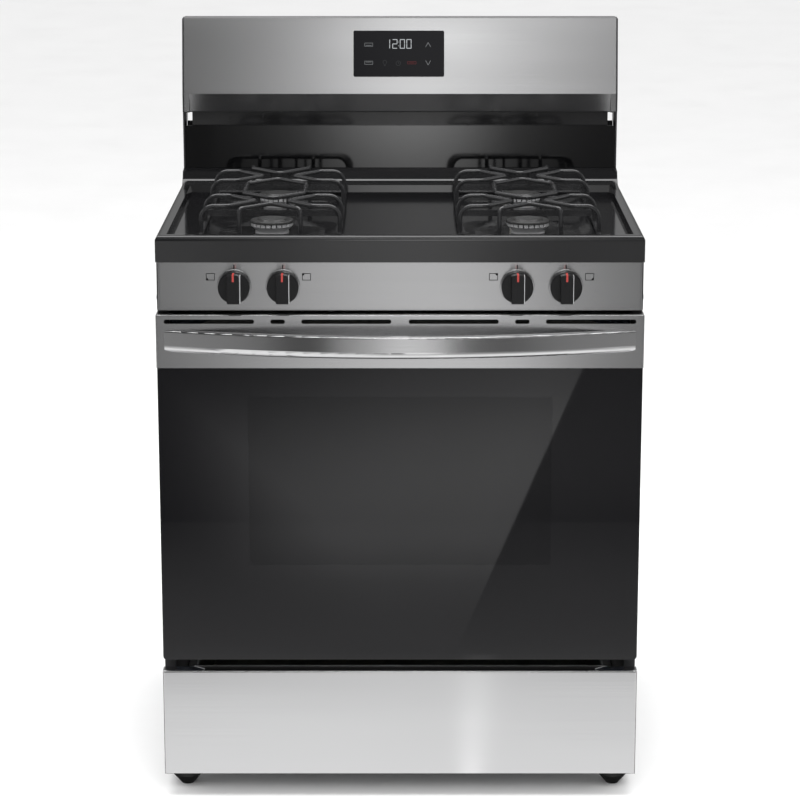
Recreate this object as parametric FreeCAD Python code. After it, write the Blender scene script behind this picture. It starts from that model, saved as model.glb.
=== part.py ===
import FreeCAD, Part
import math
import os

# Freestanding gas range. Millimetres. +X is the user's right, +Y runs to the back, +Z is up.
# The origin is on the floor, under the middle of the range.

V = FreeCAD.Vector
X_AXIS = V(1, 0, 0)
Y_AXIS = V(0, 1, 0)
Z_AXIS = V(0, 0, 1)

# ---------------------------------------------------------------- driving dimensions
WIDTH = 759.0            # over the side panels
DEPTH = 721.0            # door handle to back
HEIGHT = 1194.0          # floor to the top of the console
COOKTOP_Z = 917.0        # top of the cooktop rim
HALF = WIDTH / 2
Y_BACK = DEPTH / 2       # rearmost face
Y_HANDLE = -DEPTH / 2    # foremost point of the door handle
Y_LIP = Y_HANDLE + 72    # front of the cooktop lip and of the control panel
Y_DOOR = Y_HANDLE + 55   # front of the door trim and of the drawer
GAP = 0.3                # clearance between bodies that nearly touch
SHEET = 1.0              # gauge of the pressed steel

PANEL_Z = (800.0, 875.5)     # control panel, bottom and top
DOOR_Z = (233.0, 796.0)      # oven door
TRIM_Z = 711.5               # bottom of the door's steel trim
DRAWER_Z = (39.0, 214.5)     # drawer front
BASE_Z = 46.0                # underside of the base frame
SIDE_FRONT_Y = Y_LIP + 26    # front edge of the side panels
DOOR_BACK_Y = SIDE_FRONT_Y - 3
BODY_BACK_Y = Y_BACK - 14    # rear face of the body's back panel

CAVITY_X = 305.0             # oven cavity, half width
CAVITY_Z = (285.0, 755.0)
CAVITY_Y = (SIDE_FRONT_Y + 6, 215.0)

BURNER_X = 203.5
BURNER_Y = (Y_LIP + 125.5, Y_LIP + 384)
PAN_Z = 904.0                # main surface of the cooktop
BASIN = 3.0                  # depth of the basin round each burner
CAP_Z = 918.0                # underside of a burner cap
IGNITER = (-23.5, 33.6)      # spark electrode, from its burner's middle

KNOB_X = (-257.5, -181.8, 181.8, 257.5)
KNOB_Z = 838.0
LEG_X = 348.0
LEG_Y = (-238.0, 300.0)
BACKGUARD_Y = 301.5          # front face of the backsplash
VENT_Z = (1008.0, 1032.0)    # vent slot between the backsplash and the console
BEND = (296.0, 1065.0)       # Y and Z of the console's bend
CONSOLE_TOP_Y = 320.0

HINGE = (-288.0, 240.0)      # Y and Z of the door's pivot
PIN_R = 4.0
ARM_X = (306.0, 311.0)       # hinge arms, on the door
BRACKET_X = (315.0, 319.0)   # hinge brackets, on the body
STUD_R = 5.0                 # levelling leg's stud

LEDGE = 11.0                 # width of a rack ledge
LEDGE_LEVELS = (318.0, 410.0, 508.0, 606.0)
RACK_LEVELS = (LEDGE_LEVELS[1], LEDGE_LEVELS[2])
RUNNER_X = (331.0, 334.0)    # drawer runners
RUNNER_Z = (120.0, 136.0)

DISPLAY_X = (-81.0, 77.0)    # display glass, across
DISPLAY_UP = (29.5, 109.5)   # and up the console's face from its bend
VENT_HALF = 364.0            # half width of the vent slot's black lining
NOTCH_X = (364.4, 375.6)     # open notch at each end of the vent slot

WINDOW_X = 238.0             # door window, half width
WINDOW_Z = (391.6, 665.0)
SLOT_Z = 785.4               # air slots in the door trim, right-hand half
SLOT_HALF = 3.4
SLOTS = ((13.5, 153.0), (178.5, 201.0), (226.5, 366.5))

GRATE_R = 3.5                # grate wire
GRATE_TOP = 955.0
STEM_R = 4.0                 # valve stem
INLET = (270.0, 150.0)       # X and Z of the gas inlet
INLET_R = 10.67

os.makedirs("parts", exist_ok=True)


# ---------------------------------------------------------------- helpers
def save(name, *solids):
    """Write one node; several solids stay separate inside it."""
    flat = []
    for item in solids:
        flat += item if isinstance(item, (list, tuple)) else [item]
    shape = flat[0] if len(flat) == 1 else Part.makeCompound(flat)
    shape.exportStep("parts/%s.step" % name)


def box(x, y, z):
    """A block between pairs of X, Y and Z."""
    return Part.makeBox(x[1] - x[0], y[1] - y[0], z[1] - z[0], V(x[0], y[0], z[0]))


def cyl(radius, start, end):
    """A round bar from start to end."""
    start = V(*start)
    run = V(*end) - start
    return Part.makeCylinder(radius, run.Length, start, run)


def cone(r_start, r_end, start, end):
    start = V(*start)
    run = V(*end) - start
    return Part.makeCone(r_start, r_end, run.Length, start, run)


def tube(outer, inner, start, end):
    return cyl(outer, start, end).cut(cyl(inner, start, end))


def prism(points, run):
    """A flat outline of straight sides, swept along run."""
    corners = [V(*p) for p in points]
    return Part.Face(Part.makePolygon(corners + corners[:1])).extrude(V(*run))


def x_prism(yz, x):
    """An outline in Y and Z, swept across X."""
    return prism([(x[0], y, z) for y, z in yz], (x[1] - x[0], 0, 0))


def mirror_x(shape):
    return shape.mirror(V(0, 0, 0), X_AXIS)


def moved(shape, x=0.0, y=0.0, z=0.0):
    copy = shape.copy()
    copy.translate(V(x, y, z))
    return copy


def rounded(shape, radius, pick):
    """Round the edges for which pick(edge) is true."""
    return shape.makeFillet(radius, [e for e in shape.Edges if pick(e)])


def along(edge, axis):
    """True for a straight edge that runs along the axis."""
    if len(edge.Vertexes) < 2:
        return False
    run = edge.Vertexes[-1].Point - edge.Vertexes[0].Point
    return run.Length > 1e-6 and abs(abs(run.normalize().dot(axis)) - 1) < 1e-6


def corner_arc(before, corner, after, bend):
    """The tangent arc of radius bend that rounds a corner: its start, middle and end."""
    back = (before - corner).normalize()
    on = (after - corner).normalize()
    half = back.getAngle(on) / 2
    reach = bend / math.tan(half)
    middle = (back + on).normalize()
    centre = corner + middle * (bend / math.sin(half))
    return corner + back * reach, centre - middle * bend, corner + on * reach


def bent_rod(points, radius, bend):
    """A rod of straight runs joined by tangent arcs; bend is one radius or one per corner."""
    pts = [V(*p) for p in points]
    bends = bend if isinstance(bend, tuple) else (bend,) * (len(pts) - 2)
    edges = []
    last = pts[0]
    for before, corner, after, r in zip(pts, pts[1:], pts[2:], bends):
        first, middle, second = corner_arc(before, corner, after, r)
        edges.append(Part.LineSegment(last, first).toShape())
        edges.append(Part.Arc(first, middle, second).toShape())
        last = second
    edges.append(Part.LineSegment(last, pts[-1]).toShape())
    ring = Part.Wire(Part.makeCircle(radius, pts[0], pts[1] - pts[0]))
    return Part.Wire(edges).makePipeShell([ring], True, True)


def closed_rod(points, radius, bend):
    """A rod bent into a closed loop with rounded corners."""
    pts = [V(*p) for p in points]
    count = len(pts)
    arcs = [corner_arc(pts[i - 1], pts[i], pts[(i + 1) % count], bend) for i in range(count)]
    edges = []
    for i in range(count):
        first, middle, second = arcs[i]
        edges.append(Part.Arc(first, middle, second).toShape())
        edges.append(Part.LineSegment(second, arcs[(i + 1) % count][0]).toShape())
    start = arcs[0][2]
    ring = Part.Wire(Part.makeCircle(radius, start, arcs[1][0] - start))
    wire = Part.Wire(edges[1:] + edges[:1])
    return wire.makePipeShell([ring], True, True)


# ---------------------------------------------------------------- body
def side_panel():
    """Right-hand panel with flanges turned inwards at the front, back, top and bottom."""
    edge = (HALF - 18, HALF)
    y = (SIDE_FRONT_Y, BODY_BACK_Y)
    z = (BASE_Z, PANEL_Z[1] - GAP)
    skin = box((HALF - SHEET, HALF), y, z)
    front = box(edge, (y[0], y[0] + SHEET), z)
    back = box(edge, (y[1] - SHEET, y[1]), z)
    top = box(edge, y, (z[1] - SHEET, z[1]))
    foot = box(edge, y, (z[0], z[0] + SHEET))
    return skin.fuse([front, back, top, foot]).removeSplitter()


def back_panel():
    """Rear sheet with louvres and a cut-out for the gas inlet."""
    x = (-HALF + 20, HALF - 20)
    sheet = box(x, (BODY_BACK_Y - SHEET, BODY_BACK_Y), (110, PANEL_Z[1] - 2))
    inlet = box((INLET[0] - 45, INLET[0] + 45), (BODY_BACK_Y - 5, BODY_BACK_Y + 5), (100, 215))
    louvres = []
    for column in (-190, -110, -30, 50, 130):
        for row in range(5):
            z = 700 + row * 22
            louvres.append(box((column, column + 60), (BODY_BACK_Y - 5, BODY_BACK_Y + 5), (z, z + 6)))
    return sheet.cut([inlet] + louvres)


def base_frame():
    """Four rails with a pierced plate in each corner for the levelling legs."""
    z = (BASE_Z + SHEET + GAP, BASE_Z + 14)
    y = (SIDE_FRONT_Y + 3, BODY_BACK_Y - 3)
    side = HALF - SHEET - 2
    rails = [box((-side, side), (y[0], y[0] + 20), z), box((-side, side), (y[1] - 20, y[1]), z)]
    for x in ((-side, -side + 14), (side - 14, side)):
        rails.append(box(x, y, z))
    for x in (-LEG_X, LEG_X):
        for leg_y in LEG_Y:
            rails.append(box((x - 28, x + 28), (leg_y - 21, leg_y + 30), (z[0], z[0] + 6)))
    frame = rails[0].fuse(rails[1:]).removeSplitter()
    for x in (-LEG_X, LEG_X):
        for leg_y in LEG_Y:
            frame = frame.cut(cyl(STUD_R + 0.05, (x, leg_y, 0), (x, leg_y, 100)))
    return frame


def front_frame():
    """Porcelain frame round the oven mouth, slotted for the hinge brackets."""
    y = (SIDE_FRONT_Y + GAP, SIDE_FRONT_Y + 6)
    plate = box((-HALF + 19, HALF - 19), y, (DOOR_Z[0] - 12, PANEL_Z[0] - 4))
    mouth = box((-CAVITY_X, CAVITY_X), (y[0] - 5, y[1] + 5), CAVITY_Z)
    mouth = rounded(mouth, 22, lambda e: along(e, Y_AXIS))
    slots = []
    for side in (-1, 1):
        x = sorted((side * (BRACKET_X[0] - 2), side * (BRACKET_X[1] + 2)))
        slots.append(box(x, (y[0] - 5, y[1] + 5), (HINGE[1] - 8, HINGE[1] + 8)))
    return plate.cut([mouth] + slots)


def oven_liner():
    """Enamelled plates of the oven cavity, with the ledges that carry the racks."""
    y = (CAVITY_Y[0] + GAP, CAVITY_Y[1])
    wall = 1.5
    z = CAVITY_Z
    plates = [
        box((-CAVITY_X - wall, -CAVITY_X), y, z),
        box((CAVITY_X, CAVITY_X + wall), y, z),
        box((-CAVITY_X - wall, CAVITY_X + wall), y, (z[1], z[1] + wall)),
        box((-CAVITY_X - wall, CAVITY_X + wall), y, (z[0] - wall, z[0])),
        box((-CAVITY_X - wall, CAVITY_X + wall), (y[1], y[1] + wall), (z[0] - wall, z[1] + wall)),
    ]
    for level in LEDGE_LEVELS:
        ledge = rounded(
            box((CAVITY_X - LEDGE, CAVITY_X), (y[0] + 12, y[1] - 6), (level - 7, level)),
            2.5,
            lambda e: along(e, Y_AXIS) and e.Vertexes[0].Point.x < CAVITY_X - 1,
        )
        plates += [ledge, mirror_x(ledge)]
    return plates


def oven_insulation():
    """Glass-wool blankets over the top, sides and back of the liner."""
    y = (CAVITY_Y[0] + 4, CAVITY_Y[1] + 1)
    inner = CAVITY_X + 3
    z = (CAVITY_Z[0], CAVITY_Z[1] + 3)
    side = box((inner, inner + 42), y, z)
    over = box((-inner - 42, inner + 42), (y[0], 90), (z[1], z[1] + 28))
    behind = box((-inner, inner), (y[1] + 2, y[1] + 44), z)
    return [side, mirror_x(side), over, behind]


def oven_floor_panel():
    """Lift-out floor with a raised rim and rows of slots at its sides."""
    x = (-CAVITY_X + 16, CAVITY_X - 16)
    y = (CAVITY_Y[0] + 14, CAVITY_Y[1] - 8)
    z = CAVITY_Z[0] + GAP
    pan = box(x, y, (z, z + 8)).cut(box((x[0] + 2, x[1] - 2), (y[0] + 2, y[1] - 2), (z + 1.5, z + 20)))
    slots = []
    for i in range(9):
        slot_y = y[0] + 50 + i * 42
        for slot_x in (x[0] + 8, x[1] - 28):
            slots.append(box((slot_x, slot_x + 20), (slot_y, slot_y + 4), (z - 5, z + 5)))
    return pan.cut(slots)


def bake_burner():
    """Tube burner under the oven floor with two rows of ports."""
    z = CAVITY_Z[0] - 32
    bar = cyl(13, (0, CAVITY_Y[0] + 40, z), (0, 190, z))
    ports = []
    for i in range(20):
        y = CAVITY_Y[0] + 55 + i * 18
        ports.append(cyl(1.2, (-20, y, z + 4), (20, y, z + 4)))
    return bar.cut(ports)


def broil_burner():
    """Looped tube burner hung below the cavity's roof."""
    z = CAVITY_Z[1] - 30
    route = [(-90, 205, z), (-90, -130, z), (90, -130, z), (90, 205, z)]
    return bent_rod(route, 7, 45)


def oven_vent_duct():
    """Flue from the back of the cavity's roof up to the vent slot in the backguard."""
    z = CAVITY_Z[1] + 3
    outer = box((-70, 70), (120, 344), (z, z + 26)).fuse(box((-70, 70), (316, 344), (z, VENT_Z[0] - 4)))
    inner = box((-68.8, 68.8), (121.2, 342.8), (z + 1.2, z + 24.8))
    inner = inner.fuse(box((-68.8, 68.8), (317.2, 342.8), (z + 2, VENT_Z[0] + 5)))
    return outer.cut(inner)


def oven_lamp():
    """Glass lamp cover on the back wall."""
    y = CAVITY_Y[1] - GAP
    dome = cyl(24, (-225, y - 14, 700), (-225, y, 700))
    return rounded(dome, 9, lambda e: abs(e.BoundBox.YMax - (y - 14)) < 1e-3)


def door_gasket():
    """Woven seal round the oven mouth."""
    y = (DOOR_BACK_Y + 0.4, SIDE_FRONT_Y)
    outer = box((-CAVITY_X - 26, CAVITY_X + 26), y, (CAVITY_Z[0] - 18, CAVITY_Z[1] + 24))
    inner = box((-CAVITY_X - 12, CAVITY_X + 12), (y[0] - 5, y[1] + 5), (CAVITY_Z[0] - 6, CAVITY_Z[1] + 12))
    outer = rounded(outer, 40, lambda e: along(e, Y_AXIS))
    inner = rounded(inner, 28, lambda e: along(e, Y_AXIS))
    return outer.cut(inner)


def hinge_receivers():
    """Brackets that reach forward from the body and hold the door's two hinge pins."""
    y = (HINGE[0] - 6, SIDE_FRONT_Y + 40)
    z = (HINGE[1] - 6, HINGE[1] + 6)
    plate = box(BRACKET_X, y, z)
    foot = box((BRACKET_X[0], BRACKET_X[1] + 14), (SIDE_FRONT_Y + 10, SIDE_FRONT_Y + 40), (z[0], z[0] + 2))
    pin = cyl(PIN_R, (ARM_X[0] - 3, *HINGE), (BRACKET_X[0] + 1, *HINGE))
    right = plate.fuse([foot, pin]).removeSplitter()
    return [right, mirror_x(right)]


def levelling_leg(x, y):
    """Tapered plastic foot on a steel stud."""
    flare = 17
    foot = cone(10, 24, (x, y, 0), (x, y, flare)).fuse(cyl(24, (x, y, flare), (x, y, BASE_Z - GAP)))
    return foot.fuse(cyl(STUD_R, (x, y, 30), (x, y, 78))).removeSplitter()


def drawer_rails():
    """Channels bolted inside the body; the drawer's runners slide in them."""
    y = (SIDE_FRONT_Y + 8, 290)
    z = (RUNNER_Z[0] - 4, RUNNER_Z[1] + 4)
    outer = box((RUNNER_X[0] + 3, RUNNER_X[1] + 4), y, z)
    groove = box((RUNNER_X[0], RUNNER_X[1] + 1), (y[0] - 5, y[1] - 4), (RUNNER_Z[0] - 1, RUNNER_Z[1] + 1))
    rail = outer.cut(groove)
    return [rail, mirror_x(rail)]


# ---------------------------------------------------------------- cooktop
def rounded_rectangle(x, y, z, bend):
    """A closed wire round the X and Y pairs at height z, with corners of radius bend."""
    corners = [V(x[0], y[0], z), V(x[1], y[0], z), V(x[1], y[1], z), V(x[0], y[1], z)]
    arcs = [corner_arc(corners[i - 1], corners[i], corners[(i + 1) % 4], bend) for i in range(4)]
    edges = []
    for i in range(4):
        first, middle, second = arcs[i]
        edges.append(Part.Arc(first, middle, second).toShape())
        edges.append(Part.LineSegment(second, arcs[(i + 1) % 4][0]).toShape())
    return Part.Wire(edges)


def basin(x, y, top):
    """The space of the shallow basin round a burner, from its mouth at height top down to its floor."""
    mouth = rounded_rectangle((x - 101, x + 101), (y - 62, y + 92), top, 34)
    floor = rounded_rectangle((x - 84, x + 84), (y - 50, y + 56), top - BASIN, 24)
    return Part.makeLoft([floor, mouth], True, True)


def cooktop_pan():
    """Pressed cooktop: rolled front lip, side rims, sunken floor with a basin per burner, rear ridge."""
    rim = 16.0
    front = [(Y_LIP, PANEL_Z[1] + GAP), (Y_LIP, COOKTOP_Z), (224, COOKTOP_Z - 1), (262, COOKTOP_Z + 0.5)]
    ridge = [(265, 920), (270, 920), (276, 932), (BACKGUARD_Y + 0.5, 934.5), (BODY_BACK_Y, 934.5)]
    outline = front + ridge + [(BODY_BACK_Y, PANEL_Z[1] + GAP)]
    body = x_prism(outline, (-HALF, HALF))
    body = rounded(
        body,
        8.0,
        lambda e: (along(e, X_AXIS) and e.BoundBox.ZMin > COOKTOP_Z - 2 and e.BoundBox.YMax < Y_LIP + 1)
        or (abs(e.BoundBox.XMin) > HALF - 1 and abs(e.BoundBox.XMax) > HALF - 1
            and e.BoundBox.ZMin > COOKTOP_Z - 3 and e.BoundBox.YMax < 230),
    )
    floor_x = HALF - rim
    well = x_prism([(Y_LIP + rim, COOKTOP_Z + 9), (Y_LIP + rim + 3, PAN_Z), (220, PAN_Z), (225, COOKTOP_Z + 9)],
                   (-floor_x, floor_x))
    slope = 3.0
    for side in (-1, 1):
        wedge = prism([(side * (floor_x + 1), -400, PAN_Z - 1), (side * (floor_x - slope), -400, PAN_Z),
                       (side * (floor_x + 1), -400, COOKTOP_Z + 12)], (0, 800, 0))
        well = well.cut(wedge)
    sheet = 2.0
    under = x_prism(
        [(Y_LIP + sheet, 870), (Y_LIP + sheet, COOKTOP_Z - 9), (Y_LIP + rim, PAN_Z - sheet), (228, PAN_Z - sheet),
         (232, COOKTOP_Z - 3), (266, COOKTOP_Z - 2), (279, 929), (BODY_BACK_Y - sheet, 931),
         (BODY_BACK_Y - sheet, 870)],
        (-HALF + sheet, HALF - sheet),
    )
    pan = body.cut(well).cut(under)
    for x in (-BURNER_X, BURNER_X):
        for y in BURNER_Y:
            pan = pan.fuse(basin(x, y, PAN_Z - sheet)).cut(basin(x, y, PAN_Z))
            pan = pan.cut(cyl(24, (x, y, 890), (x, y, 915)))
            spark_x, spark_y = x + IGNITER[0], y + IGNITER[1]
            pan = pan.cut(cyl(4.5, (spark_x, spark_y, 890), (spark_x, spark_y, 915)))
    return pan.cut(box((-71, 71), (315, 344.5), (890, 940)))


def burner_base(x, y):
    """Cast head: throat, flange and a ring of ports under the cap."""
    head = cyl(27, (x, y, PAN_Z - BASIN + GAP), (x, y, PAN_Z)).fuse(
        cone(24, 33.5, (x, y, PAN_Z), (x, y, PAN_Z + 9)))
    head = head.fuse(cyl(33.5, (x, y, PAN_Z + 9), (x, y, CAP_Z - GAP)))
    head = head.fuse(cyl(22, (x, y, PAN_Z - 16), (x, y, PAN_Z + 1)))
    head = head.cut(cyl(13, (x, y, PAN_Z - 20), (x, y, CAP_Z + 5)))
    head = head.cut(cyl(27, (x, y, CAP_Z - 7), (x, y, CAP_Z + 5)))
    port = box((24, 36), (-1, 1), (CAP_Z - 6, CAP_Z + 5))
    ports = []
    for i in range(24):
        slot = port.copy()
        slot.rotate(V(0, 0, 0), Z_AXIS, i * 15)
        ports.append(moved(slot, x, y))
    return head.cut(ports)


def burner_cap(x, y):
    """Enamelled cap with a raised disc, located by a collar in the head."""
    disc = cyl(34.5, (x, y, CAP_Z), (x, y, CAP_Z + 4))
    disc = rounded(disc, 2.0, lambda e: abs(e.BoundBox.ZMin - CAP_Z - 4) < 1e-3)
    raised = cone(24, 22, (x, y, CAP_Z + 4), (x, y, CAP_Z + 6))
    collar = tube(12.4, 10.5, (x, y, CAP_Z - 9), (x, y, CAP_Z))
    return disc.fuse([raised, collar]).removeSplitter()


def igniter(x, y):
    """Ceramic spark electrode beside a burner."""
    x += IGNITER[0]
    y += IGNITER[1]
    body = cyl(4, (x, y, PAN_Z - 24), (x, y, PAN_Z + 7))
    return body.fuse(cyl(1.1, (x, y, PAN_Z + 7), (x, y, PAN_Z + 12))).removeSplitter()


def grate(x):
    """Welded wire grate over a front and a rear burner; every wire is its own solid."""
    reach = 109.0
    low = PAN_Z + GAP + GRATE_R
    top = GRATE_TOP - GRATE_R
    foot = low + GRATE_R
    rail_y = (Y_LIP + 45.5, BURNER_Y[1] + 108)
    wires = []
    for side in (-1, 1):
        rail = x + side * reach
        wires.append(cyl(GRATE_R, (rail, rail_y[0], low), (rail, rail_y[1], low)))
        for y in BURNER_Y:
            route = [
                (rail, y - 51, foot),
                (rail, y - 51, top),
                (x + side * 68, y - 51, top),
                (x + side * 26, y, top),
                (x + side * 68, y + 51, top),
                (rail, y + 51, top),
                (rail, y + 51, foot),
            ]
            wires.append(bent_rod(route, GRATE_R, (20, 12, 6, 12, 20)))
    inner = reach - GRATE_R
    for end, tip, run in ((rail_y[0] + GRATE_R, BURNER_Y[0] - 27, 0), (rail_y[1] - GRATE_R, BURNER_Y[1] + 27, 18)):
        left = [(x - 48, end, foot), (x - 48, end, top)]
        right = [(x + 48, end, top), (x + 48, end, foot)]
        if run:
            left.append((x - 48, end - run, top))
            right.insert(0, (x + 48, end - run, top))
        bends = (8, 8, 6, 8, 8) if run else (8, 6, 8)
        wires.append(bent_rod(left + [(x, tip, top)] + right, GRATE_R, bends))
        wires.append(cyl(GRATE_R, (x - inner, end, low), (x + inner, end, low)))
    tips = (BURNER_Y[0] + 26, BURNER_Y[1] - 33)
    corners = (tips[0] + 52, tips[1] - 50)
    loop = [(0, tips[0]), (48.5, corners[0]), (48.5, corners[1]), (0, tips[1]), (-48.5, corners[1]),
            (-48.5, corners[0])]
    wires.append(closed_rod([(x + u, y, top) for u, y in loop], GRATE_R, 9))
    strip_z = (918.5, 928.5)
    for y, post in ((BURNER_Y[0] + 51, 23.3), (BURNER_Y[1] + 51, 15.5)):
        strip = box((x - inner, x + inner), (y - 1.5, y + 1.5), strip_z)
        wires.append(rounded(strip, 5, lambda e: along(e, Y_AXIS) and e.BoundBox.ZMax < strip_z[0] + 1))
        for side in (-1, 1):
            wires.append(cyl(2.5, (x + side * post, y, strip_z[1]), (x + side * post, y, top - GRATE_R)))
    return wires


# ---------------------------------------------------------------- gas train and ignition
def gas_manifold():
    """Pipe behind the control panel, capped at one end, with the supply pipe from the regulator."""
    y = Y_LIP + 66
    pipe = tube(9, 7, (-300, y, KNOB_Z), (300, y, KNOB_Z))
    cap = cyl(11, (-312, y, KNOB_Z), (-300, y, KNOB_Z))
    elbow = cyl(11, (300, y, KNOB_Z), (326, y, KNOB_Z)).cut(cyl(6.5, (313, y, KNOB_Z + 1), (313, y, KNOB_Z - 20)))
    route = [(352, y + 60, KNOB_Z - 10), (352, 300, KNOB_Z - 10), (352, 300, INLET[1]), (300, 300, INLET[1])]
    supply = bent_rod(route, 6, 18)
    link = bent_rod([(326, y, KNOB_Z), (345, y, KNOB_Z), (352, y + 30, KNOB_Z - 10), (352, y + 60, KNOB_Z - 10)], 6,
                    (7, 8))
    return [pipe, cap, elbow, supply, link]


def valve_body(x):
    """Brass valve clamped to the manifold, bored for its stem."""
    y = (Y_LIP + 24, Y_LIP + 57 - GAP)
    body = box((x - 11, x + 11), y, (KNOB_Z - 13, KNOB_Z + 13))
    body = body.fuse(cyl(7, (x, y[0] + 16, KNOB_Z + 13), (x, y[0] + 16, KNOB_Z + 26))).removeSplitter()
    body = body.cut(cyl(STEM_R + 0.05, (x, y[0] - 5, KNOB_Z), (x, y[1] - 6, KNOB_Z)))
    return rounded(body, 2.0, lambda e: along(e, Y_AXIS) and e.Length > 20)


def valve_stem(x):
    """Valve stem with a flat for the knob."""
    stem = cyl(STEM_R, (x, Y_LIP - 18, KNOB_Z), (x, Y_LIP + 50, KNOB_Z))
    return stem.cut(box((x + 2.6, x + 9), (Y_LIP - 30, Y_LIP - 2), (KNOB_Z - 9, KNOB_Z + 9)))


def knob(x):
    """Moulded knob: skirt, grip bar and a D-shaped bore."""
    back = Y_LIP - 3.6
    face = back - 12
    front = face - 17
    skirt = cyl(24.7, (x, face, KNOB_Z), (x, back, KNOB_Z))
    skirt = rounded(skirt, 1.2, lambda e: abs(e.BoundBox.YMax - face) < 1e-3)
    bar = box((x - 9.8, x + 9.8), (front, face + 1), (KNOB_Z - 22, KNOB_Z + 25))
    grip = bar.common(cyl(23.6, (x, front - 1, KNOB_Z), (x, face + 1, KNOB_Z)))
    grip = rounded(grip, 1.2, lambda e: along(e, Z_AXIS) and e.BoundBox.YMax < front + 1e-3)
    body = skirt.fuse(grip).removeSplitter()
    bore = cyl(STEM_R + 0.05, (x, Y_LIP - 22, KNOB_Z), (x, Y_LIP, KNOB_Z))
    bore = bore.cut(box((x + 2.65, x + 9), (Y_LIP - 30, Y_LIP + 5), (KNOB_Z - 9, KNOB_Z + 9)))
    entry = cyl(STEM_R + 1.5, (x, Y_LIP - 7.5, KNOB_Z), (x, Y_LIP, KNOB_Z))
    return body.cut(bore).cut(entry)


def feed_tube(x, y):
    """Aluminium tube from a valve to its burner."""
    start_y = Y_LIP + 40
    z = KNOB_Z + 26
    run = 18 if y == BURNER_Y[0] else -18
    knob_x = min(KNOB_X, key=lambda k: abs(k - x - (run if x > 0 else -run)))
    route = [(knob_x, start_y, z + GAP), (knob_x, start_y, z + 12), (x, y - 40, z + 12), (x, y, z + 12),
             (x, y, PAN_Z - 16 - GAP)]
    return bent_rod(route, 4, (5, 5, 5))


def pressure_regulator():
    """Regulator at the back with the threaded gas inlet."""
    x, z = INLET
    body = box((x - 26, x + 26), (284, 330), (z - 22, z + 22))
    body = rounded(body, 5, lambda e: e.Length > 30)
    dome = cyl(22, (x, 307, z + 22), (x, 307, z + 40))
    stub = tube(INLET_R, 7.9, (x, 329, z), (x, Y_BACK, z))
    nut = prism([(x + 17 * math.cos(math.radians(60 * i)), 330, z + 17 * math.sin(math.radians(60 * i)))
                 for i in range(6)], (0, 9, 0)).cut(cyl(INLET_R - 1, (x, 320, z), (x, 345, z)))
    return body.fuse([dome, nut, stub]).cut(cyl(7.9, (x, 310, z), (x, 345, z))).removeSplitter()


def spark_module():
    """Ignition transformer with its row of terminals."""
    case = rounded(box((-60, 0), (240, 290), (850, 878)), 3, lambda e: along(e, Z_AXIS))
    terminals = [cyl(2.5, (-52 + i * 12, 239, 864), (-52 + i * 12, 228, 864)) for i in range(5)]
    return case.fuse([moved(t, y=2) for t in terminals]).removeSplitter()


# ---------------------------------------------------------------- control panel and console
def control_panel():
    """Steel fascia with rounded ends and a hole for each valve stem."""
    half = HALF - 1.2
    y = (Y_LIP, SIDE_FRONT_Y - GAP)
    outer = box((-half, half), y, (PANEL_Z[0], PANEL_Z[1]))
    outer = rounded(outer, 5, lambda e: along(e, Z_AXIS) and e.BoundBox.YMax < y[0] + 1)
    inner = box((-half + SHEET, half - SHEET), (y[0] + SHEET, y[1] + 5), (PANEL_Z[0] + SHEET, PANEL_Z[1] - SHEET))
    holes = [cyl(STEM_R + 1.5, (x, y[0] - 5, KNOB_Z), (x, y[0] + 10, KNOB_Z)) for x in KNOB_X]
    return outer.cut([inner] + holes)


def tilt_to_console(shape):
    """Move a shape from upright at the origin to the console's leaning face."""
    lean = math.degrees(math.atan((CONSOLE_TOP_Y - BEND[0]) / (HEIGHT - BEND[1])))
    copy = shape.copy()
    copy.rotate(V(0, 0, 0), X_AXIS, -lean)
    copy.translate(V(0, *BEND))
    return copy


def console_panel():
    """Steel front of the backguard: leaning face, tucked-under band, rolled lower lip and top return."""
    t = 1.2
    half = HALF - 3
    cheek = half - 9                  # the band stays upright beyond this, at both ends
    tuck = 7                          # how far the band's lower edge leans back between its ends

    def section(band_y):
        """The sheet's outline, with the band's lower edge at this y."""
        return [
            (CONSOLE_TOP_Y, HEIGHT), BEND, (band_y, VENT_Z[1] + 2), (band_y + 2, VENT_Z[1]), (band_y + 8, VENT_Z[1]),
            (band_y + 8, VENT_Z[1] + t), (band_y + 2 + t / 2, VENT_Z[1] + t), (band_y + t, VENT_Z[1] + 2 + t / 2),
            (BEND[0] + t, BEND[1]), (CONSOLE_TOP_Y + t, HEIGHT - t), (Y_BACK - t - GAP, HEIGHT - t),
            (Y_BACK - t - GAP, HEIGHT),
        ]

    panel = x_prism(section(BEND[0] + tuck), (-cheek, cheek))
    panel = panel.fuse([x_prism(section(BEND[0]), ends) for ends in ((-half, -cheek), (cheek, half))])
    panel = panel.removeSplitter()
    window = tilt_to_console(box((DISPLAY_X[0] + 3, DISPLAY_X[1] - 3), (-10, 10),
                                 (DISPLAY_UP[0] + 3, DISPLAY_UP[1] - 3)))
    return panel.cut(window)


def display_glass():
    """Dark glass over the clock and its touch keys."""
    glass = box(DISPLAY_X, (-0.9, -GAP / 10), DISPLAY_UP)
    glass = rounded(glass, 3, lambda e: along(e, Y_AXIS))
    return tilt_to_console(glass)


def control_board():
    """Clock circuit board with its display block and connector."""
    board = box((DISPLAY_X[0] + 8, DISPLAY_X[1] - 8), (14, 15.6), (DISPLAY_UP[0] + 6, DISPLAY_UP[1] - 6))
    digits = box((-24, 34), (4, 14), (DISPLAY_UP[0] + 34, DISPLAY_UP[0] + 62))
    plug = box((-60, -40), (15.6, 24), (DISPLAY_UP[0] + 12, DISPLAY_UP[0] + 22))
    return tilt_to_console(board.fuse([digits, plug]))


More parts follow.
